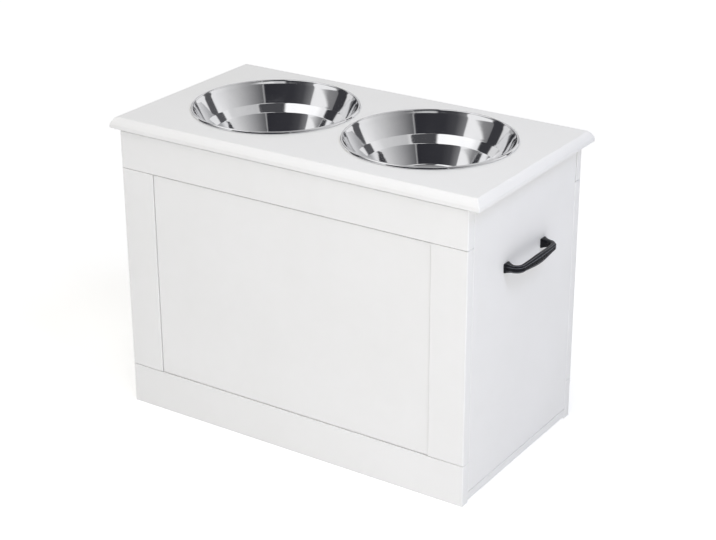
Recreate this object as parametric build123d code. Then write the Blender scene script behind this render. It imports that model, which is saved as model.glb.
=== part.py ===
from build123d import *
import math
import os

# Raised pet feeder: a lift-up top with two bowls over a storage box.
# Millimetres. +Z up, -Y is the front, +X is the right-hand side seen from the front.
# The origin is on the floor, under the centre of the top.

# ---- driving dimensions ----
body_w = 567.0          # box, outer face to outer face along X
body_d = 311.5          # box, front face to back face
body_top = 427.0        # upper edge of the box
lid_w = 600.0           # top board
lid_d = 320.0
lid_t = 16.0
lid_gap = 2.0           # between the box and the top, held by the bumpers
lid_front = 3.5         # how far the top stands over the front face
mould_in = 7.5          # moulded edge: width of the curve, seen from above
mould_fillet = 5.5      # moulded edge: height of the plain band below the curve
board = 15.0            # rails, stiles and side panels
frame_panel_t = 6.0     # panel held in the grooves of the frame
groove_deep = 8.0
field_back = 1.5        # raised field of the front panel behind the face of its frame
field_gap = (1.2, 0.8, 0.9, 1.4)   # open line round the raised field: left, right, bottom, top
top_rail_h = 55.0
bottom_rail_h = 62.0
stile_w = 55.0
floor_t = 12.0          # bottom board
floor_lift = 4.2        # underside of the bottom board above the floor
seam = 0.6              # open joint between neighbouring boards
ease = 0.5              # eased arris of every board
arris_r = 1.5           # rounded upright arris at the outer corners of the frames
back_rail_gap = 2.2     # wider joint between the sides and the back top rail

bowl_x = 128.5          # bowl centres, left and right of the middle
bowl_y = 4.0
bowl_rim_r = 121.8
bowl_t = 0.8
bead_r = 2.0
cutout_r = 118.4

handle_y = -4.0
handle_z = 314.5
handle_pitch = 102.0
handle_reach = 26.5

hinge_x = 190.0
hinge_len = 50.0
leaf = 1.0
knuckle_r = 2.2
pin_r = 1.1
leaf_run = 25.0

# ---- derived ----
y_f = -lid_d / 2 + lid_front
y_b = y_f + body_d
x_s = body_w / 2
z_u = body_top + lid_gap
z_t = z_u + lid_t
stile_z0 = bottom_rail_h
stile_z1 = body_top - top_rail_h

os.makedirs("parts", exist_ok=True)


def block(x0, x1, y0, y1, z0, z1):
    return Pos((x0 + x1) / 2, (y0 + y1) / 2, (z0 + z1) / 2) * Box(x1 - x0, y1 - y0, z1 - z0)


def eased(x0, x1, y0, y1, z0, z1, c=ease):
    b = block(x0, x1, y0, y1, z0, z1)
    return chamfer(b.edges(), c)


def rounded(x0, x1, y0, y1, z0, z1, xs, y, c=ease, r=arris_r):
    """Eased board whose upright arrises at x in xs on the face y are rounded."""
    b = block(x0, x1, y0, y1, z0, z1)

    def corner(e):
        m = e.center()
        return abs(m.Y - y) < 1e-6 and any(abs(m.X - x) < 1e-6 for x in xs)

    upright = b.edges().filter_by(Axis.Z)
    b = fillet([e for e in upright if corner(e)], r)
    rest = []
    for e in b.edges():
        m = e.center()
        if abs(m.Z - z0) < 1e-6 or abs(m.Z - z1) < 1e-6:
            rest.append(e)
        elif abs(e.length - (z1 - z0)) < 1e-6:
            if any(abs(m.X - x) < r + 0.01 and abs(m.Y - y) < r + 0.01 for x in xs):
                continue
            rest.append(e)
        else:
            rest.append(e)
    return chamfer(rest, c)


def rod(p, axis, r, length):
    """Cylinder that starts at p and runs along +/-X, +/-Y or +/-Z."""
    c = Pos(0, 0, length / 2) * Cylinder(r, length)
    turn = {
        "+Z": Rot(0, 0, 0), "-Z": Rot(180, 0, 0),
        "+X": Rot(0, 90, 0), "-X": Rot(0, -90, 0),
        "+Y": Rot(-90, 0, 0), "-Y": Rot(90, 0, 0),
    }[axis]
    return Pos(*p) * turn * c


def cone(p, axis, r0, r1, length):
    c = Pos(0, 0, length / 2) * Cone(r0, r1, length)
    turn = {
        "+Z": Rot(0, 0, 0), "-Z": Rot(180, 0, 0),
        "+X": Rot(0, 90, 0), "-X": Rot(0, -90, 0),
        "+Y": Rot(-90, 0, 0), "-Y": Rot(90, 0, 0),
    }[axis]
    return Pos(*p) * turn * c


def save(shape, name):
    solids = shape if isinstance(shape, list) else [shape]
    out = []
    for s in solids:
        out.extend(s.solids())
    part = out[0] if len(out) == 1 else Compound(children=out)
    part.label = name
    export_step(part, f"parts/{name}.step")


# ---- fastener positions ----
dowel_r, dowel_len = 3.0, 30.0
dowel_x = [x_s - stile_w + 20.0, x_s - 16.0]
cam_z = [104.0, 338.0]                 # bolts that join the sides to the frames
cam_x = x_s - board / 2
floor_cam_x = 150.0                    # bolts that join the bottom to the frames
floor_cam_z = floor_lift + floor_t / 2
sole_screw_y = [-95.0, 95.0]


def frame(face, inward):
    """Rails, stiles, panel and dowels of the front (inward +1) or back (-1) frame.

    face is the Y of the visible face.
    """
    ya, yb = sorted((face, face + inward * board))
    mid = face + inward * board / 2
    pa, pb = mid - frame_panel_t / 2, mid + frame_panel_t / 2
    g = 0.1
    xi = x_s - stile_w                 # inner edge of the stiles
    ta, tb = (ya, yb) if inward > 0 else (ya + back_rail_gap - seam, yb)
    top = rounded(-x_s, x_s, ta, tb, stile_z1 + seam / 2, body_top, (-x_s, x_s), face)
    bot = rounded(-x_s, x_s, ya, yb, 0.0, stile_z0 - seam / 2, (-x_s, x_s), face)
    top -= block(-xi - groove_deep, xi + groove_deep, pa - g, pb + g, stile_z1 - 1, stile_z1 + groove_deep + g)
    bot -= block(-xi - groove_deep, xi + groove_deep, pa - g, pb + g, stile_z0 - groove_deep - g, stile_z0 + 1)
    stiles = []
    for s in (-1, 1):
        x0, x1 = sorted((s * xi, s * x_s))
        st = rounded(x0, x1, ya, yb, stile_z0 + seam / 2, stile_z1 - seam / 2, (s * x_s,), face)
        gx0, gx1 = sorted((s * (xi - 1), s * (xi + groove_deep + g)))
        st -= block(gx0, gx1, pa - g, pb + g, stile_z0 - 1, stile_z1 + 1)
        stiles.append(st)
    panel = block(-xi - groove_deep + g, xi + groove_deep - g, pa, pb,
                  stile_z0 - groove_deep, stile_z1 + groove_deep)
    if inward > 0:
        # the front panel is rebated, so that its field comes up almost to the face
        g_l, g_r, g_b, g_t = field_gap
        panel += block(-xi + g_l, xi - g_r, face + field_back, pa,
                       stile_z0 - seam / 2 + g_b, stile_z1 + seam / 2 - g_t)
    dowels = []
    for s in (-1, 1):
        for dx in dowel_x:
            x = s * dx
            for zj in (stile_z0, stile_z1):
                dowels.append(rod((x, mid, zj - dowel_len / 2), "+Z", dowel_r, dowel_len))
                hole = rod((x, mid, zj - dowel_len / 2 - 1), "+Z", dowel_r + 0.05, dowel_len + 2)
                if zj == stile_z0:
                    bot -= hole
                else:
                    top -= hole
                k = 0 if s < 0 else 1
                stiles[k] -= hole
    # bolt holes on the inner face of the stiles and of the bottom rail
    inner = face + inward * board
    out_dir = "-Y" if inward > 0 else "+Y"
    for s in (-1, 1):
        k = 0 if s < 0 else 1
        for z in cam_z:
            stiles[k] -= rod((s * cam_x, inner - inward * -1.0, z), out_dir, 2.55, 12.5)
        bot -= rod((s * floor_cam_x, inner - inward * -1.0, floor_cam_z), out_dir, 2.05, 11.5)
    return top, bot, stiles, panel, dowels


f_top, f_bot, f_st, f_panel, f_dowels = frame(y_f, +1)
b_top, b_bot, b_st, b_panel, b_dowels = frame(y_b, -1)

# ---- sides and bottom ----
side_y0, side_y1 = y_f + board + seam, y_b - board - seam
side_z0 = floor_lift + floor_t + seam
sides = {}
for s, name in ((-1, "left"), (1, "right")):
    x0, x1 = sorted((s * (x_s - board), s * x_s))
    p = eased(x0, x1, side_y0, side_y1, side_z0, body_top)
    inner_x = s * (x_s - board)
    for z in cam_z:
        for e, d in ((side_y0, 1), (side_y1, -1)):
            # hole in the edge for the bolt, and the round pocket for the cam
            p -= rod((s * cam_x, e - d * 1.0, z), "+Y" if d > 0 else "-Y", 4.0, 35.0)
            p -= rod((inner_x - s * 1.0, e + d * 34.0, z), "+X" if s > 0 else "-X", 7.5, 13.5)
    for v in (-handle_pitch / 2, handle_pitch / 2):
        p -= rod((inner_x - s * 1.0, handle_y + v, handle_z), "+X" if s > 0 else "-X", 2.3, board + 2)
    for y in sole_screw_y:
        p -= rod((s * cam_x, y, side_z0 - 1.0), "+Z", 1.8, 30.0)
    sides[name] = p

bottom = eased(-x_s, x_s, side_y0, side_y1, floor_lift, floor_lift + floor_t)
for s in (-1, 1):
    for y in sole_screw_y:
        bottom -= rod((s * cam_x, y, floor_lift - 1.0), "+Z", 2.05, floor_t + 2)
        bottom -= cone((s * cam_x, y, floor_lift - 0.05), "+Z", 4.1, 2.0, 2.1)
    for e, d in ((side_y0, 1), (side_y1, -1)):
        bottom -= rod((s * floor_cam_x, e - d * 1.0, floor_cam_z), "+Y" if d > 0 else "-Y", 3.2, 25.0)
        bottom -= rod((s * floor_cam_x, e + d * 24.0, floor_lift - 1.0), "+Z", 5.1, 10.4)

# ---- bolts, cams, screws of the box ----
side_bolts, side_cams, floor_bolts, floor_cams, sole_screws = [], [], [], [], []
for s in (-1, 1):
    for z in cam_z:
        for face, e, d in ((y_f, side_y0, 1), (y_b, side_y1, -1)):
            inner = face + d * board
            ax = "+Y" if d > 0 else "-Y"
            start = inner - d * 11.0
            b = rod((s * cam_x, start, z), ax, 2.5, 11.0)
            b += rod((s * cam_x, inner, z), ax, 3.4, 1.2)
            b += rod((s * cam_x, inner, z), ax, 2.2, 32.0)
            b += rod((s * cam_x, inner + d * 31.0, z), ax, 3.3, 2.4)
            side_bolts.append(b)
            # cam: drum with an open mouth for the bolt head and a cross recess on its face
            cx = s * (x_s - board)
            cy = e + d * 34.0
            c = rod((cx + s * 0.2, cy, z), "+X" if s > 0 else "-X", 7.35, 12.0)
            m = rod((s * cam_x, cy + d * 0.5, z), "-Y" if d > 0 else "+Y", 3.9, 9.0)
            c -= m
            c -= block(*sorted((cx - s * 1.0, cx + s * 1.6)), cy - 4.0, cy + 4.0, z - 0.6, z + 0.6)
            c -= block(*sorted((cx - s * 1.0, cx + s * 1.6)), cy - 0.6, cy + 0.6, z - 4.0, z + 4.0)
            side_cams.append(c)
    for face, e, d in ((y_f, side_y0, 1), (y_b, side_y1, -1)):
        inner = face + d * board
        ax = "+Y" if d > 0 else "-Y"
        b = rod((s * floor_cam_x, inner - d * 10.0, floor_cam_z), ax, 2.0, 10.0)
        b += rod((s * floor_cam_x, inner, floor_cam_z), ax, 2.7, 1.0)
        b += rod((s * floor_cam_x, inner, floor_cam_z), ax, 1.6, 22.5)
        b += rod((s * floor_cam_x, inner + d * 21.5, floor_cam_z), ax, 2.5, 2.0)
        floor_bolts.append(b)
        cy = e + d * 24.0
        c = rod((s * floor_cam_x, cy, floor_lift + 0.2), "+Z", 5.0, 9.0)
        c -= rod((s * floor_cam_x, cy + d * 0.5, floor_cam_z), "-Y" if d > 0 else "+Y", 2.9, 7.0)
        c -= block(s * floor_cam_x - 3, s * floor_cam_x + 3, cy - 0.5, cy + 0.5, floor_lift - 1, floor_lift + 1.4)
        c -= block(s * floor_cam_x - 0.5, s * floor_cam_x + 0.5, cy - 3, cy + 3, floor_lift - 1, floor_lift + 1.4)
        floor_cams.append(c)
    for y in sole_screw_y:
        sc = cone((s * cam_x, y, floor_lift + 0.05), "+Z", 3.9, 1.9, 2.0)
        sc += rod((s * cam_x, y, floor_lift + 1.0), "+Z", 1.75, 37.0)
        sc -= block(s * cam_x - 2.2, s * cam_x + 2.2, y - 0.4, y + 0.4, floor_lift - 1, floor_lift + 1.0)
        sc -= block(s * cam_x - 0.4, s * cam_x + 0.4, y - 2.2, y + 2.2, floor_lift - 1, floor_lift + 1.0)
        sole_screws.append(sc)

# ---- top board with its moulded edge ----


def moulded(width, run):
    """Section of the top, flat below, moulded on both sides, extruded along Y."""
    h = width / 2
    base = [(-h, 0), (h, 0), (h, mould_fillet)]
    right = Bezier((h, mould_fillet), (h - 1.4, mould_fillet + 3.9), (h - 3.9, lid_t - 2.7), (h - mould_in, lid_t))
    left = Bezier((-h + mould_in, lid_t), (-h + 3.9, lid_t - 2.7), (-h + 1.4, mould_fillet + 3.9), (-h, mould_fillet))
    edges = [
        Line(base[0], base[1]), Line(base[1], base[2]), right,
        Line((h - mould_in, lid_t), (-h + mould_in, lid_t)), left, Line((-h, mould_fillet), base[0]),
    ]
    face = make_face(Wire([e.edge() for e in edges]))
    return Pos(0, run / 2, 0) * Rot(90, 0, 0) * extrude(face, run)


along_y = moulded(lid_w, lid_d + 20)
along_x = Rot(0, 0, 90) * moulded(lid_d, lid_w + 20)
lid = Pos(0, 0, z_u) * (along_y & along_x)
for s in (-1, 1):
    lid -= Pos(s * bowl_x, bowl_y, z_u + lid_t / 2) * Cylinder(cutout_r, lid_t + 4)

# ---- bowls ----


def offset_line(pts, d):
    """Polyline pts moved sideways by d (to the right of its direction)."""
    segs = []
    for (x0, y0), (x1, y1) in zip(pts, pts[1:]):
        n = math.hypot(x1 - x0, y1 - y0)
        ox, oy = (y1 - y0) / n * d, -(x1 - x0) / n * d
        segs.append(((x0 + ox, y0 + oy), (x1 + ox, y1 + oy)))
    out = [segs[0][0]]
    for (a, b), (c, e) in zip(segs, segs[1:]):
        d1 = (b[0] - a[0], b[1] - a[1])
        d2 = (e[0] - c[0], e[1] - c[1])
        den = d1[0] * d2[1] - d1[1] * d2[0]
        t = ((c[0] - a[0]) * d2[1] - (c[1] - a[1]) * d2[0]) / den
        out.append((a[0] + t * d1[0], a[1] + t * d1[1]))
    out.append(segs[-1][1])
    return out


# inner surface of the bowl: radius and height above the top board
bowl_line = [(117.3, 2.6), (103.2, -27.6), (94.3, -39.0), (81.7, -66.0), (77.7, -70.0), (0.0, -70.0)]


def bowl_at(x):
    inner = bowl_line
    outer = offset_line(inner, -bowl_t)
    # the outline runs down the inside to the axis, and back up along the outside
    ring = inner + [(0.0, outer[-1][1])] + list(reversed(outer[:-1]))
    face = make_face(Polyline(*ring, close=True))
    round_in = {1: 4.0, 2: 4.0, 3: 7.0, 4: 7.0}
    for i, r in round_in.items():
        for pt, rr in ((inner[i], r), (outer[i], r)):
            vs = [v for v in face.vertices() if abs(v.X - pt[0]) < 1e-3 and abs(v.Y - pt[1]) < 1e-3]
            if vs:
                face = fillet(vs, rr)
                if not isinstance(face, Face):
                    face = face.faces()[0]
    wall = revolve(Plane.XZ * face, Axis.Z)
    bead_c = bowl_rim_r - bead_r
    disc = Plane.XZ * (Pos(bead_c, bead_r - 0.05) * Circle(bead_r))
    bead = revolve(disc, Axis.Z)
    bead -= Pos(0, 0, -5) * Cylinder(bowl_rim_r + 2, 10)
    b = wall + bead
    return Pos(x, bowl_y, z_t) * b


bowl_l = bowl_at(-bowl_x)
bowl_r = bowl_at(bowl_x)

# ---- carry handles: a cast bar pull with square feet ----


def handle(side):
    """Built on a wall at x = 0 that faces +X, then turned for the left side."""
    half = handle_pitch / 2
    r_b = 10.0
    u_bar = 20.2
    stations = []                      # (u, v, tangent angle from +u, height, thickness)
    for u, hh, tt in ((0.0, 10.6, 10.6), (3.0, 10.0, 10.0), (7.0, 9.4, 9.2)):
        stations.append((u, -half, 0.0, hh, tt))
    uc, vc = u_bar - r_b, -half + r_b
    for a in (0.0, 22.5, 45.0, 67.5, 88.0):
        t = math.radians(a)
        stations.append((uc + r_b * math.sin(t), vc - r_b * math.cos(t), a, 9.4 + a / 90 * 0.4, 9.0 - a / 90 * 1.4))
    bow = 2.2
    v0 = vc
    for f in (0.25, 0.5, 0.75):
        v = v0 * (1 - f)
        du = bow * math.sin(f * math.pi / 2)
        slope = bow * math.cos(f * math.pi / 2) * (math.pi / 2) / (-v0)
        hh = 9.8 + 4.4 * math.sin(f * math.pi / 2) ** 2
        stations.append((u_bar + du, v, 90.0 - math.degrees(math.atan(slope)), hh, 7.8 + 0.4 * f))
    stations.append((u_bar + bow, 0.0, 90.0, 14.2, 8.2))
    for u, v, a, hh, tt in reversed(stations[:-1]):
        stations.append((u, -v, 180.0 - a, hh, tt))
    faces = []
    for u, v, a, hh, tt in stations:
        t = math.radians(a)
        pl = Plane(origin=(u, v, 0), x_dir=(0, 0, 1), z_dir=(math.cos(t), math.sin(t), 0))
        faces.append(pl * Ellipse(hh / 2, tt / 2))
    h = loft(faces)
    for s in (-1, 1):
        def sec(u, w, r):
            return Plane(origin=(u, s * half, 0), x_dir=(0, 0, 1), z_dir=(1, 0, 0)) * RectangleRounded(w, w, r)
        foot = extrude(sec(0, 13.4, 1.6), 1.6)
        flare = loft([sec(1.6, 13.4, 1.6), sec(6.6, 9.2, 1.6)])
        h += foot
        h += flare
    for s in (-1, 1):
        h -= rod((-1.0, s * half, 0), "+X", 2.05, 12.5)
    if side < 0:
        h = Rot(0, 0, 180) * h
        return Pos(-x_s, handle_y, handle_z) * h
    return Pos(x_s, handle_y, handle_z) * h


def handle_screws(side):
    out = []
    for s in (-1, 1):
        y = handle_y + s * handle_pitch / 2
        xi = side * (x_s - board)
        ax = "+X" if side > 0 else "-X"
        back = "-X" if side > 0 else "+X"
        sc = rod((xi, y, handle_z), ax, 2.0, board + 10.0)
        head = rod((xi, y, handle_z), back, 4.0, 2.4)
        sc += head
        sc -= block(*sorted((xi - side * 3.0, xi - side * 1.2)), y - 2.4, y + 2.4, handle_z - 0.5, handle_z + 0.5)
        sc -= block(*sorted((xi - side * 3.0, xi - side * 1.2)), y - 0.5, y + 0.5, handle_z - 2.4, handle_z + 2.4)
        out.append(sc)
    return out


# ---- hinges at the back edge ----
ax_y = y_b + knuckle_r + 0.3
ax_z = z_u - knuckle_r - 0.3
seg = hinge_len / 5
hinge_screw_dx = 15.0
body_leaf_screw_z = ax_z - 14.0
lid_leaf_screw_y = ax_y - 13.0
hinges = {}
hinge_screws_body, hinge_screws_lid = [], []
for s, name in ((-1, "left"), (1, "right")):
    cx = s * hinge_x
    xa = cx - hinge_len / 2
    body_leaf = block(xa, xa + hinge_len, y_b, y_b + leaf, ax_z - leaf_run, ax_z)
    lid_leaf = block(xa, xa + hinge_len, ax_y - leaf_run, ax_y, z_u - leaf, z_u)
    for i in range(5):
        a, b = xa + i * seg, xa + (i + 1) * seg
        on_body = i % 2 == 0
        lo = a if i == 0 else a + 0.15
        hi = b if i == 4 else b - 0.15
        if on_body:
            body_leaf += rod((lo, ax_y, ax_z), "+X", knuckle_r, hi - lo)
            lid_leaf -= block(a - 0.15 if i else a - 1, b + 0.15 if i < 4 else b + 1,
                              ax_y - knuckle_r - 0.35, ax_y + 3, z_u - leaf - 1, z_u + 1)
        else:
            lid_leaf += rod((lo, ax_y, ax_z), "+X", knuckle_r, hi - lo)
            body_leaf -= block(a - 0.15, b + 0.15, y_b - 1, y_b + leaf + 4,
                               ax_z - knuckle_r - 0.35, ax_z + 5)
    # a second pass keeps the neighbouring knuckles clear of each other's relief
    for i in range(5):
        a, b = xa + i * seg, xa + (i + 1) * seg
        lo = a if i == 0 else a + 0.15
        hi = b if i == 4 else b - 0.15
        if i % 2 == 0:
            body_leaf += rod((lo, ax_y, ax_z), "+X", knuckle_r, hi - lo)
        else:
            lid_leaf += rod((lo, ax_y, ax_z), "+X", knuckle_r, hi - lo)
    body_leaf -= rod((xa - 1, ax_y, ax_z), "+X", pin_r + 0.02, hinge_len + 2)
    lid_leaf -= rod((xa - 1, ax_y, ax_z), "+X", pin_r + 0.05, hinge_len + 2)
    for dx in (-hinge_screw_dx, hinge_screw_dx):
        x = cx + dx
        z = body_leaf_screw_z
        body_leaf -= cone((x, y_b + leaf + 0.05, z), "-Y", 2.35, 1.25, 1.1)
        sc = cone((x, y_b + leaf, z), "-Y", 2.2, 1.2, 1.0)
        sc += rod((x, y_b + leaf - 0.5, z), "-Y", 1.2, 11.5)
        hinge_screws_body.append(sc)
        b_top -= rod((x, y_b + 1.0, z), "-Y", 1.25, 13.0)
        y = lid_leaf_screw_y
        lid_leaf -= cone((x, y, z_u - leaf - 0.05), "+Z", 2.35, 1.25, 1.1)
        sc = cone((x, y, z_u - leaf), "+Z", 2.2, 1.2, 1.0)
        sc += rod((x, y, z_u - leaf + 0.5), "+Z", 1.2, 11.5)
        hinge_screws_lid.append(sc)
        lid -= rod((x, y, z_u - 1.0), "+Z", 1.25, 13.0)
    pin = rod((xa, ax_y, ax_z), "+X", pin_r, hinge_len)
    hinges[name] = (body_leaf, lid_leaf, pin)

# ---- bumpers between the box and the top ----
bumpers = []
for x in (-(x_s - 14.0), x_s - 14.0):
    for y in (y_f + board / 2, y_b - board / 2):
        bumpers.append(Pos(x, y, body_top) * extrude(Circle(4.0), lid_gap, taper=18))

# ---- write ----
save(lid, "lid_board")
save(bowl_l, "bowl_left")
save(bowl_r, "bowl_right")
save(f_top, "front_top_rail")
save(f_bot, "front_bottom_rail")
save(f_st[0], "front_left_stile")
save(f_st[1], "front_right_stile")
save(f_panel, "front_panel")
save(b_top, "back_top_rail")
save(b_bot, "back_bottom_rail")
save(b_st[0], "back_left_stile")
save(b_st[1], "back_right_stile")
save(b_panel, "back_panel")
save(sides["left"], "left_side_panel")
save(sides["right"], "right_side_panel")
save(bottom, "bottom_board")
save(handle(-1), "handle_left")
save(handle(1), "handle_right")
save(handle_screws(-1), "handle_screws_left")
save(handle_screws(1), "handle_screws_right")
for name in ("left", "right"):
    body_leaf, lid_leaf, pin = hinges[name]
    save(body_leaf, f"hinge_{name}_body_leaf")
    save(lid_leaf, f"hinge_{name}_lid_leaf")
    save(pin, f"hinge_{name}_pin")
save(hinge_screws_body, "hinge_screws_body")
save(hinge_screws_lid, "hinge_screws_lid")
save(f_dowels, "front_frame_dowels")
save(b_dowels, "back_frame_dowels")
save(side_bolts, "side_cam_bolts")
save(side_cams, "side_cams")
save(floor_bolts, "bottom_cam_bolts")
save(floor_cams, "bottom_cams")
save(sole_screws, "bottom_screws")
save(bumpers, "lid_bumpers")
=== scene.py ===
import math

import bmesh
import bpy
from mathutils import Matrix, Vector


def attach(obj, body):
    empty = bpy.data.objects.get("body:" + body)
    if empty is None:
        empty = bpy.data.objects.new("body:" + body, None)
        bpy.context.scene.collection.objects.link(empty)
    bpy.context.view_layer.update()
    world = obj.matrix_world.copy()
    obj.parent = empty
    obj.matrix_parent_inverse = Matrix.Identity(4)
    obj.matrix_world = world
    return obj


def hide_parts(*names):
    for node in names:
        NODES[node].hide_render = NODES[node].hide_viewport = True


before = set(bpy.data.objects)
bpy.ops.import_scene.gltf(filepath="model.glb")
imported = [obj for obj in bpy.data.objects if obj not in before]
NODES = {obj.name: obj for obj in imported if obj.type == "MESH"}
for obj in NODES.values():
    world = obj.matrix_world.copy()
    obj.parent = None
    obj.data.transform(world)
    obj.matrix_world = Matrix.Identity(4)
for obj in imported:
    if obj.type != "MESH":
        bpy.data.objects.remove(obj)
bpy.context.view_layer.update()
scene = bpy.context.scene

# Metres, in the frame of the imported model. +Z up, -Y the front, +X the right-hand side.
LID_W, LID_D = 0.600, 0.320
LID_Z0, LID_Z1 = 0.429, 0.445
MOULD_IN, MOULD_BAND = 0.0075, 0.0055
BOWL_X, BOWL_Y = 0.1285, 0.004
CUTOUT_R = 0.1184
SIDE_X = 0.2835
HANDLE = (0.2835, -0.004, 0.3145)
HANDLE_PITCH = 0.102


# ------------------------------------------------------------------ camera
def make_camera():
    data = bpy.data.cameras.new("camera")
    cam = bpy.data.objects.new("camera", data)
    scene.collection.objects.link(cam)
    eye = Vector((1.27303565, -1.89990897, 1.22097856))
    right = Vector((0.83425798, 0.55136107, -0.00382072))
    down = Vector((0.21703348, -0.3347451, -0.91697447))
    ahead = Vector((-0.50686299, 0.76416405, -0.39892758))
    m = Matrix.Identity(4)
    for i in range(3):
        m[i][0], m[i][1], m[i][2], m[i][3] = right[i], -down[i], -ahead[i], eye[i]
    cam.matrix_world = m
    data.sensor_width = 36.0
    data.lens = 87.05875
    data.shift_x, data.shift_y = 0.00098, -0.002825
    data.clip_start, data.clip_end = 0.05, 60.0
    scene.camera = cam


# ------------------------------------------------------------------ node helpers
class Graph:
    """A small builder for shader node trees."""

    def __init__(self, name):
        self.mat = bpy.data.materials.new(name)
        self.mat.use_nodes = True
        self.t = self.mat.node_tree
        self.t.nodes.clear()
        self.out = self.t.nodes.new("ShaderNodeOutputMaterial")

    def add(self, kind, **values):
        n = self.t.nodes.new(kind)
        for k, v in values.items():
            setattr(n, k, v)
        return n

    def link(self, a, b):
        self.t.links.new(a, b)

    def put(self, node, socket, value):
        s = node.inputs[socket]
        if isinstance(value, bpy.types.NodeSocket):
            self.link(value, s)
        else:
            s.default_value = value

    def coords(self):
        return self.add("ShaderNodeTexCoord").outputs["Object"]

    def mapping(self, vec, scale=(1, 1, 1), location=(0, 0, 0), rotation=(0, 0, 0)):
        n = self.add("ShaderNodeMapping")
        self.link(vec, n.inputs["Vector"])
        n.inputs["Scale"].default_value = scale
        n.inputs["Location"].default_value = location
        n.inputs["Rotation"].default_value = rotation
        return n.outputs["Vector"]

    def noise(self, vec, scale, detail=2.0, rough=0.5, lacun=2.0, distortion=0.0):
        n = self.add("ShaderNodeTexNoise")
        self.link(vec, n.inputs["Vector"])
        n.inputs["Scale"].default_value = scale
        n.inputs["Detail"].default_value = detail
        n.inputs["Roughness"].default_value = rough
        n.inputs["Lacunarity"].default_value = lacun
        n.inputs["Distortion"].default_value = distortion
        return n.outputs["Fac"]

    def math(self, op, a, b=0.0, c=None, clamp=False):
        n = self.add("ShaderNodeMath", operation=op, use_clamp=clamp)
        self.put(n, 0, a)
        self.put(n, 1, b)
        if c is not None:
            self.put(n, 2, c)
        return n.outputs[0]

    def remap(self, v, a, b, c, d, smooth=False):
        n = self.add("ShaderNodeMapRange")
        n.interpolation_type = "SMOOTHSTEP" if smooth else "LINEAR"
        self.put(n, "Value", v)
        for k, x in zip(("From Min", "From Max", "To Min", "To Max"), (a, b, c, d)):
            n.inputs[k].default_value = x
        return n.outputs["Result"]

    def mix(self, fac, a, b):
        n = self.add("ShaderNodeMix", data_type="RGBA")
        self.put(n, 0, fac)
        self.put(n, 6, a)
        self.put(n, 7, b)
        return n.outputs[2]

    def bump(self, height, distance, strength=1.0, normal=None):
        n = self.add("ShaderNodeBump")
        n.inputs["Strength"].default_value = strength
        n.inputs["Distance"].default_value = distance
        self.link(height, n.inputs["Height"])
        if normal is not None:
            self.link(normal, n.inputs["Normal"])
        return n.outputs["Normal"]

    def surface(self, **values):
        b = self.add("ShaderNodeBsdfPrincipled")
        for k, v in values.items():
            self.put(b, k.replace("_", " "), v)
        self.link(b.outputs["BSDF"], self.out.inputs["Surface"])
        return self.mat


def rgb(r, g, b):
    return (r, g, b, 1.0)


# ------------------------------------------------------------------ materials
def white_lacquer(name="white_lacquer", tint=(0.80, 0.80, 0.795)):
    """Sprayed satin lacquer on fibreboard: orange peel, faint waviness, slightly uneven sheen."""
    g = Graph(name)
    p = g.coords()
    wide = g.noise(p, 7.0, 2.0, 0.5)
    blotch = g.noise(p, 38.0, 3.0, 0.55)
    peel = g.noise(p, 620.0, 2.0, 0.55)
    fine = g.noise(p, 2600.0, 1.0, 0.5)
    shade = g.math("ADD", g.math("MULTIPLY", wide, 0.6), g.math("MULTIPLY", blotch, 0.4))
    low = rgb(tint[0] * 0.985, tint[1] * 0.985, tint[2] * 0.982)
    high = rgb(min(1, tint[0] * 1.012), min(1, tint[1] * 1.012), min(1, tint[2] * 1.014))
    colour = g.mix(g.remap(shade, 0.3, 0.7, 0.0, 1.0), low, high)
    rough = g.math("ADD", g.remap(blotch, 0.25, 0.75, 0.30, 0.38), g.remap(fine, 0.3, 0.7, -0.015, 0.015))
    n1 = g.bump(peel, 0.00006, 0.5)
    n2 = g.bump(wide, 0.0012, 0.22, n1)
    return g.surface(Base_Color=colour, Roughness=rough, Normal=n2, IOR=1.5)


def inner_foil():
    """Matt white board face on the inside of the box, with a faint calender texture."""
    g = Graph("white_inner_face")
    p = g.coords()
    a = g.noise(p, 900.0, 2.0, 0.6)
    b = g.noise(p, 24.0, 3.0, 0.5)
    colour = g.mix(b, rgb(0.76, 0.76, 0.75), rgb(0.79, 0.79, 0.785))
    rough = g.remap(b, 0.3, 0.7, 0.44, 0.54)
    return g.surface(Base_Color=colour, Roughness=rough, Normal=g.bump(a, 0.00005, 0.6), IOR=1.5)


def polished_steel():
    """Spun and polished stainless steel. The object's origin is on the bowl's axis, so the lines run round it."""
    g = Graph("polished_steel")
    p = g.coords()
    sep = g.add("ShaderNodeSeparateXYZ")
    g.link(p, sep.inputs[0])
    r = g.math("SQRT", g.math("ADD", g.math("MULTIPLY", sep.outputs[0], sep.outputs[0]),
                              g.math("MULTIPLY", sep.outputs[1], sep.outputs[1])))
    run = g.add("ShaderNodeCombineXYZ")
    g.put(run, 0, r)
    g.put(run, 2, sep.outputs[2])
    lines = g.noise(run.outputs[0], 2600.0, 3.0, 0.65)
    bands = g.noise(run.outputs[0], 240.0, 2.0, 0.5)
    cloud = g.noise(p, 30.0, 3.0, 0.55)
    wipe = g.noise(g.mapping(p, (1.0, 1.0, 4.0)), 160.0, 2.0, 0.6)
    colour = g.mix(g.remap(cloud, 0.3, 0.7, 0.0, 1.0), rgb(0.74, 0.745, 0.755), rgb(0.80, 0.80, 0.805))
    rough = g.math("ADD", g.remap(lines, 0.3, 0.7, 0.035, 0.075), g.remap(wipe, 0.35, 0.75, 0.0, 0.03))
    n1 = g.bump(lines, 0.000004, 0.35)
    n2 = g.bump(bands, 0.00003, 0.25, n1)
    return g.surface(Base_Color=colour, Metallic=1.0, Roughness=rough, Normal=n2)


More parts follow.
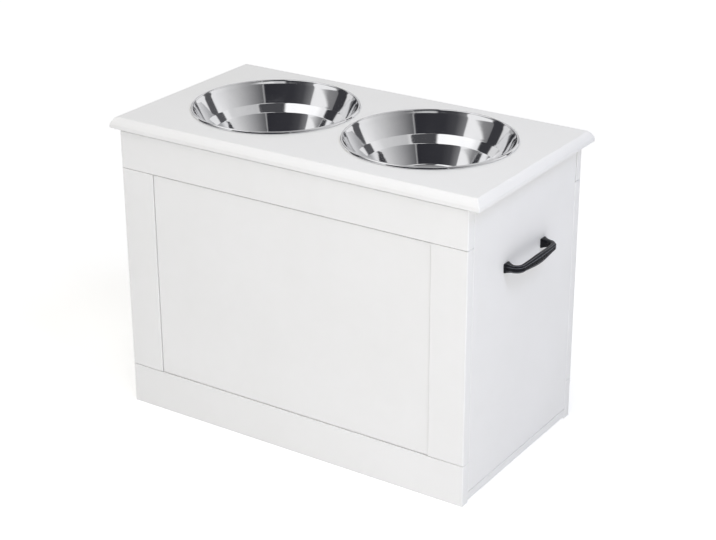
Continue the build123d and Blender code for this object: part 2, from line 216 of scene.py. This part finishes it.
def black_coat():
    """Black powder coat on a cast pull: fine texture, rubbed a little smoother on the grip, with painted highlight
    lines along the ridges.
    """
    g = Graph("black_powder_coat")
    p = g.coords()
    grain = g.noise(p, 2300.0, 2.0, 0.6)
    soft = g.noise(p, 170.0, 3.0, 0.55)
    geo = g.add("ShaderNodeNewGeometry")
    edge = g.remap(geo.outputs["Pointiness"], 0.51, 0.58, 0.0, 1.0, True)
    base = g.mix(soft, rgb(0.0030, 0.0034, 0.0050), rgb(0.0070, 0.0075, 0.0105))
    colour = g.mix(g.math("MULTIPLY", edge, 0.5), base, rgb(0.045, 0.048, 0.058))
    # painted highlight: a light colour laid along the ridge crests, standing in for the glints the gloss would catch
    # there
    ridge_highlight_mask = g.add("ShaderNodeAttribute", attribute_name="ridge").outputs["Fac"]
    painted_ridge_highlight = g.math("MULTIPLY", ridge_highlight_mask, g.remap(soft, 0.25, 0.75, 0.65, 1.0))
    colour = g.mix(painted_ridge_highlight, colour, rgb(0.215, 0.225, 0.250))
    rough = g.math("SUBTRACT", g.remap(soft, 0.3, 0.7, 0.25, 0.34), g.math("MULTIPLY", edge, 0.07))
    return g.surface(Base_Color=colour, Roughness=rough, Normal=g.bump(grain, 0.00009, 0.55), IOR=1.5,
                     Specular_IOR_Level=0.25)


def plated(name, low, high, r0, r1, scale=900.0):
    """Plated steel: fine rolling lines, cloudy roughness, worn bright along the edges."""
    g = Graph(name)
    p = g.coords()
    lines = g.noise(g.mapping(p, (0.08, 1.0, 1.0)), scale * 3, 3.0, 0.6)
    cloud = g.noise(p, 260.0, 3.0, 0.6)
    geo = g.add("ShaderNodeNewGeometry")
    edge = g.remap(geo.outputs["Pointiness"], 0.505, 0.57, 0.0, 1.0, True)
    colour = g.mix(cloud, low, high)
    colour = g.mix(g.math("MULTIPLY", edge, 0.5), colour, rgb(0.86, 0.86, 0.85))
    rough = g.math("SUBTRACT", g.remap(cloud, 0.25, 0.75, r0, r1), g.math("MULTIPLY", edge, 0.08))
    return g.surface(Base_Color=colour, Metallic=1.0, Roughness=rough, Normal=g.bump(lines, 0.00003, 0.4))


def die_cast():
    """Zinc die casting of the cams: fine cast grain."""
    g = Graph("cast_zinc")
    p = g.coords()
    grain = g.noise(p, 1800.0, 3.0, 0.7)
    cloud = g.noise(p, 300.0, 3.0, 0.6)
    colour = g.mix(cloud, rgb(0.46, 0.47, 0.48), rgb(0.60, 0.60, 0.61))
    return g.surface(Base_Color=colour, Metallic=1.0, Roughness=g.remap(cloud, 0.3, 0.7, 0.38, 0.55),
                     Normal=g.bump(grain, 0.00006, 0.6))


def beech():
    """Fluted beech dowel: short flecks along the grain, which runs along Z."""
    g = Graph("beech")
    p = g.coords()
    stretched = g.mapping(p, (1.0, 1.0, 0.08))
    fleck = g.noise(stretched, 1500.0, 4.0, 0.65)
    ring = g.noise(stretched, 300.0, 3.0, 0.5)
    colour = g.mix(ring, rgb(0.52, 0.33, 0.18), rgb(0.66, 0.46, 0.28))
    colour = g.mix(g.remap(fleck, 0.55, 0.72, 0.0, 0.6), colour, rgb(0.36, 0.21, 0.11))
    return g.surface(Base_Color=colour, Roughness=g.remap(fleck, 0.3, 0.7, 0.55, 0.72),
                     Normal=g.bump(fleck, 0.00012, 0.6), IOR=1.5)


def silicone():
    """Clear soft bumper, slightly cloudy."""
    g = Graph("clear_silicone")
    p = g.coords()
    cloud = g.noise(p, 500.0, 2.0, 0.5)
    colour = g.mix(cloud, rgb(0.82, 0.83, 0.82), rgb(0.90, 0.90, 0.89))
    return g.surface(Base_Color=colour, Roughness=g.remap(cloud, 0.3, 0.7, 0.22, 0.34),
                     Normal=g.bump(cloud, 0.00004, 0.4), IOR=1.41, Transmission_Weight=0.45)


# ------------------------------------------------------------------ mesh helpers
def new_object(name, mesh, mat, origin=(0.0, 0.0, 0.0)):
    o = bpy.data.objects.new(name, mesh)
    o.location = origin
    scene.collection.objects.link(o)
    mesh.materials.append(mat)
    return o


def smooth_by_angle(o, degrees):
    o.data.shade_smooth()
    lim = math.radians(degrees)
    bm = bmesh.new()
    bm.from_mesh(o.data)
    for e in bm.edges:
        e.smooth = not (len(e.link_faces) == 2 and e.calc_face_angle(0.0) > lim)
    bm.to_mesh(o.data)
    bm.free()


def bezier(p0, p1, p2, p3, n):
    out = []
    for i in range(n + 1):
        t = i / n
        a, b, c, d = (1 - t) ** 3, 3 * t * (1 - t) ** 2, 3 * t * t * (1 - t), t ** 3
        out.append(tuple(a * p0[k] + b * p1[k] + c * p2[k] + d * p3[k] for k in range(2)))
    return out


def fillet_line(pts, radii, n=8):
    """Polyline pts with its inner corners rounded; radii[i] belongs to pts[i]."""
    out = [pts[0]]
    for i in range(1, len(pts) - 1):
        r = radii.get(i, 0.0)
        p = Vector(pts[i])
        a, b = Vector(pts[i - 1]) - p, Vector(pts[i + 1]) - p
        la, lb = a.length, b.length
        a.normalize()
        b.normalize()
        if r <= 0:
            out.append(tuple(p))
            continue
        ang = math.acos(max(-1, min(1, a.dot(b))))
        back = min(r / math.tan(ang / 2), la * 0.48, lb * 0.48)
        r = back * math.tan(ang / 2)
        mid = (a + b).normalized()
        c = p + mid * (r / math.sin(ang / 2))
        s, e = p + a * back, p + b * back
        va, vb = s - c, e - c
        turn = math.acos(max(-1, min(1, va.normalized().dot(vb.normalized()))))
        sign = 1 if va.x * vb.y - va.y * vb.x > 0 else -1
        for k in range(n + 1):
            t = sign * turn * k / n
            q = c + Vector((va.x * math.cos(t) - va.y * math.sin(t), va.x * math.sin(t) + va.y * math.cos(t)))
            out.append((q.x, q.y))
    out.append(pts[-1])
    return out


def lathe(profile, segments, closed=False):
    """Mesh of a profile of (r, z) turned round Z. A point at r 0 becomes one vertex."""
    bm = bmesh.new()
    rings = []
    for r, z in profile:
        if r < 1e-7:
            rings.append([bm.verts.new((0, 0, z))])
        else:
            rings.append([bm.verts.new((r * math.cos(2 * math.pi * k / segments),
                                        r * math.sin(2 * math.pi * k / segments), z)) for k in range(segments)])
    pairs = list(zip(rings, rings[1:]))
    if closed:
        pairs.append((rings[-1], rings[0]))
    for a, b in pairs:
        for k in range(segments):
            j = (k + 1) % segments
            quad = [a[k % len(a)], a[j % len(a)], b[j % len(b)], b[k % len(b)]]
            seen = []
            for v in quad:
                if v not in seen:
                    seen.append(v)
            if len(seen) > 2:
                bm.faces.new(seen)
    bmesh.ops.recalc_face_normals(bm, faces=bm.faces)
    me = bpy.data.meshes.new("lathe")
    bm.to_mesh(me)
    bm.free()
    me.shade_smooth()
    return me


# ------------------------------------------------------------------ the top board
def top_board(mat):
    """The top: moulded edge on all four sides, mitred corners with a slightly eased arris, two round cut-outs."""
    ease = 0.0006
    half_w, half_d = LID_W / 2, LID_D / 2
    rows = [(ease, 0.0), (ease * 0.3, ease * 0.3), (0.0, ease)]
    rows += [(0.0, MOULD_BAND * 0.5)]
    thick = LID_Z1 - LID_Z0
    rows += bezier((0.0, MOULD_BAND), (0.0014, MOULD_BAND + 0.0039), (0.0039, thick - 0.0027), (MOULD_IN, thick), 24)
    corner, arc = 0.0011, 8

    def loop(inset, z):
        r = corner
        pts = []
        for cx, cy, a0 in ((1, 1, 0), (-1, 1, 90), (-1, -1, 180), (1, -1, 270)):
            ox, oy = cx * (half_w - inset - r), cy * (half_d - inset - r)
            for k in range(arc + 1):
                a = math.radians(a0 + 90 * k / arc)
                pts.append((ox + r * math.cos(a), oy + r * math.sin(a), LID_Z0 + z))
        return pts

    bm = bmesh.new()
    loops = [[bm.verts.new(p) for p in loop(i, z)] for i, z in rows]
    n = len(loops[0])
    for a, b in zip(loops, loops[1:]):
        for k in range(n):
            j = (k + 1) % n
            bm.faces.new((a[k], a[j], b[j], b[k]))
    # cut-outs: wall with eased arrises
    seg = 192
    wall = [(CUTOUT_R + ease, LID_Z0), (CUTOUT_R, LID_Z0 + ease), (CUTOUT_R, LID_Z1 - ease), (CUTOUT_R + ease, LID_Z1)]
    for s in (-1, 1):
        rings = [[bm.verts.new((s * BOWL_X + r * math.cos(2 * math.pi * k / seg),
                                BOWL_Y + r * math.sin(2 * math.pi * k / seg), z)) for k in range(seg)] for r, z in wall]
        for a, b in zip(rings, rings[1:]):
            for k in range(seg):
                j = (k + 1) % seg
                bm.faces.new((a[k], b[k], b[j], a[j]))
    bm.edges.ensure_lookup_table()
    for z in (LID_Z0, LID_Z1):
        rim = [e for e in bm.edges if len(e.link_faces) == 1 and all(abs(v.co.z - z) < 1e-7 for v in e.verts)]
        bmesh.ops.triangle_fill(bm, use_beauty=True, use_dissolve=True, edges=rim)
    bmesh.ops.recalc_face_normals(bm, faces=bm.faces)
    me = bpy.data.meshes.new("moulded_top_board")
    bm.to_mesh(me)
    bm.free()
    o = new_object("moulded_top_board", me, mat)
    smooth_by_angle(o, 15)
    return o


# ------------------------------------------------------------------ bowls
def bowl(name, x, mat):
    """Spun bowl: stepped, slightly bellied wall, flat base, rolled hollow rim that lies on the top board."""
    t = 0.0008
    inner = [(0.1173, 0.0026), (0.1032, -0.0276), (0.0943, -0.0390), (0.0817, -0.0660), (0.0777, -0.0700), (0.0, -0.0700)]
    radii = {1: 0.0040, 2: 0.0040, 3: 0.0070, 4: 0.0070}
    belly = {0: 0.00036, 2: 0.00025}                   # how far the two straight walls swell outwards

    def offset(pts, d):
        segs = []
        for (x0, y0), (x1, y1) in zip(pts, pts[1:]):
            n = math.hypot(x1 - x0, y1 - y0)
            ox, oy = (y1 - y0) / n * d, -(x1 - x0) / n * d
            segs.append(((x0 + ox, y0 + oy), (x1 + ox, y1 + oy)))
        out = [segs[0][0]]
        for (a, b), (c, e) in zip(segs, segs[1:]):
            d1, d2 = (b[0] - a[0], b[1] - a[1]), (e[0] - c[0], e[1] - c[1])
            den = d1[0] * d2[1] - d1[1] * d2[0]
            k = ((c[0] - a[0]) * d2[1] - (c[1] - a[1]) * d2[0]) / den
            out.append((a[0] + k * d1[0], a[1] + k * d1[1]))
        out.append(segs[-1][1])
        return out

    arc = 10

    def skin(pts):
        """Rounded outline of one side of the sheet, with its walls divided and bellied."""
        line = fillet_line(pts, radii, arc)
        # ends of the straight runs: before the first fillet, and between the following ones
        cuts = [0] + [1 + i * (arc + 1) for i in range(4)]
        out = []
        for i, start in enumerate(cuts):
            a = line[0] if i == 0 else line[start + arc]
            b = line[start + 1] if i == 0 else (line[cuts[i + 1]] if i + 1 < len(cuts) else line[-1])
            if i:
                out += line[start:start + arc]
            n = max(1, int(math.dist(a, b) / 0.0030))
            length = math.dist(a, b)
            nx, nz = -(b[1] - a[1]) / length, (b[0] - a[0]) / length
            for k in range(n):
                f = k / n
                d = 4 * belly.get(i, 0.0) * f * (1 - f)
                out.append((a[0] + (b[0] - a[0]) * f + nx * d, a[1] + (b[1] - a[1]) * f + nz * d))
        out.append(line[-1])
        return out

    ins = skin(inner)
    outs = skin(offset(inner, -t))
    # rolled rim: from the wall's top edge up and outwards, over a flattened crown, down a narrow slanting side,
    # and tucked in under it, hollow inside
    rim = [(0.11780, 0.00210), (0.11785, 0.00290), (0.11850, 0.00385), (0.12030, 0.00388), (0.12108, 0.00310),
           (0.12172, 0.00120), (0.12150, 0.00006), (0.11980, 0.00002), (0.11900, 0.00060)]
    roll_out = fillet_line(rim, {1: 0.0012, 2: 0.0009, 3: 0.0008, 4: 0.0009, 5: 0.0006, 6: 0.0006, 7: 0.0008}, 6)
    roll_in = fillet_line(offset(rim, t * 0.72), {1: 0.0006, 2: 0.0004, 3: 0.0003, 4: 0.0004}, 4)
    ring = list(reversed(ins))                         # axis to the top of the inner wall
    ring[-1] = (0.11752, 0.0018)
    line = ring + roll_out[1:]                         # over the rim
    line += [roll_in[-1]]                              # the cut edge of the sheet
    line += list(reversed(roll_in))[1:]                # back along the inside of the roll
    outs[0] = (0.11835, 0.00170)
    line += outs
    me = lathe(line, 256)
    me.name = name
    return new_object(name, me, mat, (x, BOWL_Y, LID_Z1))


# ------------------------------------------------------------------ handles
def handle(name, side, mat):
    """Cast bar pull: square flared feet, slim necks, rounded bends and a swelling grip with long ridges."""
    half = HANDLE_PITCH / 2
    r_b, u_bar, bow = 0.010, 0.0202, 0.0022
    st = []      # u, v, tangent angle from +u in degrees, height (along Z), thickness, squareness, ridge
    st += [(0.0000, -half, 0, 0.01330, 0.01330, 9.0, 0.0), (0.0003, -half, 0, 0.01340, 0.01340, 9.0, 0.0),
           (0.0015, -half, 0, 0.01338, 0.01338, 9.0, 0.0), (0.0020, -half, 0, 0.01310, 0.01310, 8.0, 0.0),
           (0.0032, -half, 0, 0.01235, 0.01225, 6.5, 0.15), (0.0048, -half, 0, 0.01160, 0.01130, 4.8, 0.4),
           (0.0066, -half, 0, 0.01095, 0.01040, 3.6, 0.7), (0.0085, -half, 0, 0.01040, 0.00970, 3.0, 0.9)]
    uc, vc = u_bar - r_b, -half + r_b
    for a in (0, 11, 22.5, 34, 45, 56, 67.5, 79, 88):
        t = math.radians(a)
        st.append((uc + r_b * math.sin(t), vc - r_b * math.cos(t), a, 0.0101 - a / 90 * 0.0002,
                   0.0093 - a / 90 * 0.0013, 2.7, 1.0))
    steps = 16
    for i in range(1, steps + 1):
        f = i / steps
        v = vc * (1 - f)
        du = bow * math.sin(f * math.pi / 2)
        slope = bow * math.cos(f * math.pi / 2) * (math.pi / 2) / (-vc)
        swell = math.sin(f * math.pi / 2) ** 1.6
        st.append((u_bar + du, v, 90 - math.degrees(math.atan(slope)), 0.0099 + 0.0043 * swell,
                   0.0078 + 0.0004 * f, 2.6, 1.0))
    st += [(u, -v, 180 - a, h, t, q, k) for u, v, a, h, t, q, k in reversed(st[:-1])]
    around = 120
    bm = bmesh.new()
    # vertex layer "ridge": mask for the light lines painted as highlights along the ridge crests
    ridge_highlight_layer = bm.verts.layers.float.new("ridge")
    rings = []
    for u, v, a, h, t, q, k in st:
        ta = math.radians(a)
        # outward normal of the bar in the (u, v) plane: away from the space behind the grip
        nu, nv = math.sin(ta), -math.cos(ta)
        ring = []
        for i in range(around):
            w = 2 * math.pi * i / around
            c, s = math.cos(w), math.sin(w)
            rr = (abs(c) ** q + abs(s) ** q) ** (-1.0 / q)
            # two pairs of fine ridges along the outer face, with shallow flutes beside them
            off = math.degrees(math.atan2(s, c))
            ridge, painted_ridge_highlight = 0.0, 0.0
            for peak in (-60.0, -28.0, 28.0, 60.0):
                d = abs((off - peak + 180) % 360 - 180)
                ridge += 0.060 * math.exp(-(d / 5.0) ** 2) - 0.034 * math.exp(-((d - 13) / 6.0) ** 2)
                # painted highlight mask: peaks on each ridge crest, where the shader paints a light line
                painted_ridge_highlight = max(painted_ridge_highlight, math.exp(-(d / 2.6) ** 2))
            rr *= 1 + k * ridge * (1.0 if abs(off) < 90 else 0.0)
            out = c * rr * t / 2
            up = s * rr * h / 2
            vert = bm.verts.new((u + nu * out, v + nv * out, up))
            vert[ridge_highlight_layer] = k * painted_ridge_highlight
            ring.append(vert)
        rings.append(ring)
    for a, b in zip(rings, rings[1:]):
        for i in range(around):
            j = (i + 1) % around
            bm.faces.new((a[i], a[j], b[j], b[i]))
    bm.faces.new(rings[0])
    bm.faces.new(list(reversed(rings[-1])))
    bmesh.ops.recalc_face_normals(bm, faces=bm.faces)
    if side < 0:
        bmesh.ops.rotate(bm, verts=bm.verts, cent=(0, 0, 0), matrix=Matrix.Rotation(math.pi, 3, "Z"))
    me = bpy.data.meshes.new(name)
    bm.to_mesh(me)
    bm.free()
    o = new_object(name, me, mat, (side * HANDLE[0], HANDLE[1], HANDLE[2]))
    me.shade_smooth()
    smooth_by_angle(o, 50)
    return o


# ------------------------------------------------------------------ boards
INSIDE = Vector((0.0, -0.0008, 0.2))


def board_copy(node, mat, soft=0.00022, inner=None):
    """A clean copy of a board: merged, its flat faces joined up, its eased arrises rounded.
    The broad face that looks into the box may have a finish of its own."""
    src = NODES[node].data
    bm = bmesh.new()
    bm.from_mesh(src)
    bmesh.ops.remove_doubles(bm, verts=bm.verts, dist=2e-6)
    bmesh.ops.dissolve_limit(bm, angle_limit=math.radians(0.4), verts=bm.verts, edges=bm.edges)
    me = bpy.data.meshes.new("painted_" + node)
    bm.to_mesh(me)
    bm.free()
    o = new_object("painted_" + node, me, mat)
    me.shade_smooth()
    smooth_by_angle(o, 30)
    if inner is not None:
        me.materials.append(inner)
        for poly in me.polygons:
            if poly.area > 0.01 and poly.normal.dot(INSIDE - poly.center) > 0.05:
                poly.material_index = 1
    if soft:
        m = o.modifiers.new("arris", "BEVEL")
        m.width, m.segments, m.limit_method, m.angle_limit = soft, 2, "ANGLE", math.radians(32)
        m.harden_normals = True
        m.use_clamp_overlap = True
    return o


# ------------------------------------------------------------------ light
def world_light():
    """Studio surroundings for the polished metal: pale walls, a large soft box in front, dark flags.
    Everything else is lit by an even pale sky."""
    w = bpy.data.worlds.new("studio")
    scene.world = w
    w.use_nodes = True
    t = w.node_tree
    t.nodes.clear()

    def add(kind, **v):
        n = t.nodes.new(kind)
        for k, x in v.items():
            setattr(n, k, x)
        return n

    def put(n, i, v):
        if isinstance(v, bpy.types.NodeSocket):
            t.links.new(v, n.inputs[i])
        else:
            n.inputs[i].default_value = v

    def m(op, a, b=0.0, clamp=False):
        n = add("ShaderNodeMath", operation=op, use_clamp=clamp)
        put(n, 0, a)
        put(n, 1, b)
        return n.outputs[0]

    def ramp(v, a, b, c=0.0, d=1.0, smooth=True):
        n = add("ShaderNodeMapRange")
        n.interpolation_type = "SMOOTHSTEP" if smooth else "LINEAR"
        put(n, "Value", v)
        for k, x in zip(("From Min", "From Max", "To Min", "To Max"), (a, b, c, d)):
            n.inputs[k].default_value = x
        return n.outputs["Result"]

    def mixf(fac, a, b):
        n = add("ShaderNodeMix", data_type="FLOAT")
        put(n, 0, fac)
        put(n, 2, a)
        put(n, 3, b)
        return n.outputs[0]

    tc = add("ShaderNodeTexCoord")
    sep = add("ShaderNodeSeparateXYZ")
    t.links.new(tc.outputs["Generated"], sep.inputs[0])
    x, y, z = sep.outputs[0], sep.outputs[1], sep.outputs[2]
    az = m("MULTIPLY", m("ARCTAN2", x, m("MULTIPLY", y, -1.0)), 57.29578)   # 0 in front, +90 at the right
    el = m("MULTIPLY", m("ARCSINE", z), 57.29578)

    def panel(a0, a1, e0, e1, sa=2.0, se=2.0):
        """1 inside a panel of directions from a0 to a1 round and e0 to e1 up."""
        q = m("MULTIPLY", ramp(az, a0 - sa, a0 + sa), ramp(az, a1 - sa, a1 + sa, 1.0, 0.0))
        r = m("MULTIPLY", ramp(el, e0 - se, e0 + se), ramp(el, e1 - se, e1 + se, 1.0, 0.0))
        return m("MULTIPLY", q, r)

    def across(a0, a1, v0, v1):
        return ramp(az, a0, a1, v0, v1, smooth=False)

    v = 0.60
    # pale wall at the right, brighter away from the camera
    v = mixf(panel(54, 142, -90, 40, 0.6, 3), v, across(58, 135, 0.15, 1.0))
    # wide dark flag round the camera, paler towards the left
    flag = m("ADD", m("ADD", across(-24, -9, 0.14, 0.0), across(-24, 8, 0.10, 0.038)), across(8, 50, 0.0, -0.010))
    v = mixf(panel(-25, 54, -90, 42, 1.0, 4), v, flag)
    # bright window left of it, over a grey wall
    v = mixf(panel(-66, -25, 21, 42, 1.2, 1.2), v, 1.05)
    v = mixf(panel(-66, -25, -90, 21, 1.2, 1.2), v, m("ADD", across(-62, -34, 0.24, 0.36), across(-50, -34, 0.0, 0.37)))
    v = mixf(panel(-31, -25, -90, 21, 1.2, 1.2), v, 0.80)
    # large soft box over the front
    v = mixf(panel(-76, 14, 40, 64, 3, 2.5), v, 1.30)
    # flag over the camera, its right-hand edge leaning outwards
    lean = m("MULTIPLY", panel(16, 90, 40, 66, 3, 2), ramp(m("SUBTRACT", az, ramp(el, 46, 55, 38, 75, smooth=False)), -3, 3, 1.0, 0.0))
    v = mixf(panel(20, 134, 38, 66, 3, 2), v, m("ADD", across(62, 78, 1.15, 0.62), across(78, 128, 0.0, 0.18)))
    v = mixf(lean, v, 0.075)
    # ceiling
    v = mixf(panel(-190, 190, 64, 91, 2, 2), v, 0.30)
    # dark stand at the left, with a bright gap beside it
    v = mixf(panel(-87, -66, -90, 38, 2, 3), v, 0.045)
    v = mixf(panel(-101, -87, -90, 30, 2, 3), v, 0.85)
    v = mixf(panel(-120, -101, -90, 30, 2, 3), v, 0.45)
    # thin bright gap at the edge of the flag
    v = mixf(panel(54.2, 56.2, -90, 38, 0.4, 2), v, 0.42)
    # back: a dark stand and a window
    v = mixf(panel(142.5, 156.5, -90, 38, 1.2, 3), v, 0.11)
    v = mixf(panel(156.5, 190, -90, 50, 1.5, 4), v, 0.96)
    v = mixf(panel(-190, -120, -90, 50, 2, 4), v, ramp(el, 6, 14, 0.16, 0.70))
    # the ground, as far as gloss sees it
    v = mixf(ramp(el, -6, 0, 1.0, 0.0), v, 0.34)
    studio = add("ShaderNodeBackground")
    tint = add("ShaderNodeCombineXYZ")
    put(tint, 0, m("ADD", m("MULTIPLY", v, 0.985), 0.005))
    put(tint, 1, m("ADD", m("MULTIPLY", v, 0.983), 0.005))
    put(tint, 2, m("ADD", m("MULTIPLY", v, 0.985), 0.012))
    t.links.new(tint.outputs[0], studio.inputs["Color"])
    even = add("ShaderNodeBackground")
    even.inputs["Color"].default_value = (0.955, 0.955, 0.985, 1.0)
    even.inputs["Strength"].default_value = 0.36
    plain = add("ShaderNodeBackground")
    plain.inputs["Color"].default_value = (1.0, 1.0, 1.0, 1.0)
    plain.inputs["Strength"].default_value = 1.0
    lp = add("ShaderNodeLightPath")
    a = add("ShaderNodeMixShader")
    t.links.new(lp.outputs["Is Glossy Ray"], a.inputs[0])
    t.links.new(even.outputs[0], a.inputs[1])
    t.links.new(studio.outputs[0], a.inputs[2])
    b = add("ShaderNodeMixShader")
    t.links.new(lp.outputs["Is Camera Ray"], b.inputs[0])
    t.links.new(a.outputs[0], b.inputs[1])
    t.links.new(plain.outputs[0], b.inputs[2])
    out = add("ShaderNodeOutputWorld")
    t.links.new(b.outputs[0], out.inputs["Surface"])


def soft_light(name, at, to, size, power, colour=(1, 1, 1), size_y=None):
    d = bpy.data.lights.new(name, "AREA")
    d.shape = "RECTANGLE"
    d.size, d.size_y = size, size_y or size
    d.energy = power
    d.color = colour
    o = bpy.data.objects.new(name, d)
    scene.collection.objects.link(o)
    o.location = at
    o.rotation_mode = "QUATERNION"
    o.rotation_quaternion = (Vector(to) - Vector(at)).to_track_quat("-Z", "Y")
    o.visible_glossy = False
    return o


# name, place, target, size, power, colour
LIGHTS = [
    ("front_box", (1.6, -2.1, 0.9), (0.1, 0, 0.25), 1.1, 14.2, (1.0, 0.975, 0.935)),
    ("high_box", (1.0, -1.5, 2.1), (0.1, 0, 0.3), 1.0, 6.0, (1.0, 0.98, 0.95)),
    ("right_box", (1.9, -0.4, 2.6), (0.2, 0, 0.35), 1.2, 24.6, (0.757, 0.808, 1.0)),
    ("top_box", (-0.3, -0.6, 3.4), (0, 0, 0.3), 2.2, 41.8, (1.0, 0.975, 0.885)),
]


def floor_and_lights():
    g = Graph("pale_floor")
    p = g.coords()
    cloud = g.noise(p, 1.2, 2.0, 0.5)
    colour = g.mix(cloud, rgb(0.90, 0.90, 0.90), rgb(0.92, 0.92, 0.92))
    reach = g.add("ShaderNodeVectorMath", operation="LENGTH")
    g.link(p, reach.inputs[0])
    glow = g.remap(reach.outputs["Value"], 0.8, 2.2, 0.33, 0.56)      # the far floor gets less of the lamps
    mat = g.surface(Base_Color=colour, Roughness=g.remap(cloud, 0.3, 0.7, 0.85, 0.95),
                    Emission_Color=rgb(1, 1, 1), Emission_Strength=glow)
    bm = bmesh.new()
    bmesh.ops.create_circle(bm, cap_ends=True, segments=96, radius=14.0)
    me = bpy.data.meshes.new("floor")
    bm.to_mesh(me)
    bm.free()
    floor = new_object("floor", me, mat, (0, 0, -0.0002))
    floor.visible_glossy = False
    world_light()
    for row in LIGHTS:
        soft_light(*row)


# ------------------------------------------------------------------ build
make_camera()

lacquer = white_lacquer()
foil = inner_foil()
steel = polished_steel()
black = black_coat()
zinc = plated("zinc_plated", rgb(0.60, 0.62, 0.64), rgb(0.72, 0.73, 0.74), 0.24, 0.38)
nickel = plated("nickel_plated", rgb(0.58, 0.57, 0.55), rgb(0.68, 0.67, 0.65), 0.20, 0.33)
cast = die_cast()
wood = beech()
gum = silicone()

for n, o in NODES.items():
    if n.startswith("hinge_screws") or n.startswith("handle_screws") or n in ("bottom_screws", "side_cam_bolts", "bottom_cam_bolts"):
        m = zinc
    elif n.startswith("hinge_"):
        m = nickel
    elif n in ("side_cams", "bottom_cams"):
        m = cast
    elif n.endswith("dowels"):
        m = wood
    elif n == "lid_bumpers":
        m = gum
    elif n.startswith("bowl_"):
        m = steel
    elif n.startswith("handle_"):
        m = black
    else:
        m = lacquer
    for i in range(len(o.material_slots)):
        o.material_slots[i].material = m

top = top_board(lacquer)
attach(top, "lid")
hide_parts("lid_board")

for side, s in (("left", -1), ("right", 1)):
    b = bowl("spun_bowl_" + side, s * BOWL_X, steel)
    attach(b, side + "_bowl")
    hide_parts("bowl_" + side)
    h = handle("ridged_handle_" + side, s, black)
    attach(h, "cabinet")
    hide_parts("handle_" + side)

BOARDS = ["front_top_rail", "front_bottom_rail", "front_left_stile", "front_right_stile", "front_panel",
          "back_top_rail", "back_bottom_rail", "back_left_stile", "back_right_stile", "back_panel",
          "left_side_panel", "right_side_panel", "bottom_board"]
for n in BOARDS:
    b = board_copy(n, lacquer, inner=foil if "panel" in n or n == "bottom_board" else None)
    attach(b, "cabinet")
    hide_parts(n)

floor_and_lights()

scene.view_settings.view_transform = "Standard"
scene.view_settings.look = "None"
scene.view_settings.exposure = 0.0
scene.view_settings.gamma = 1.0
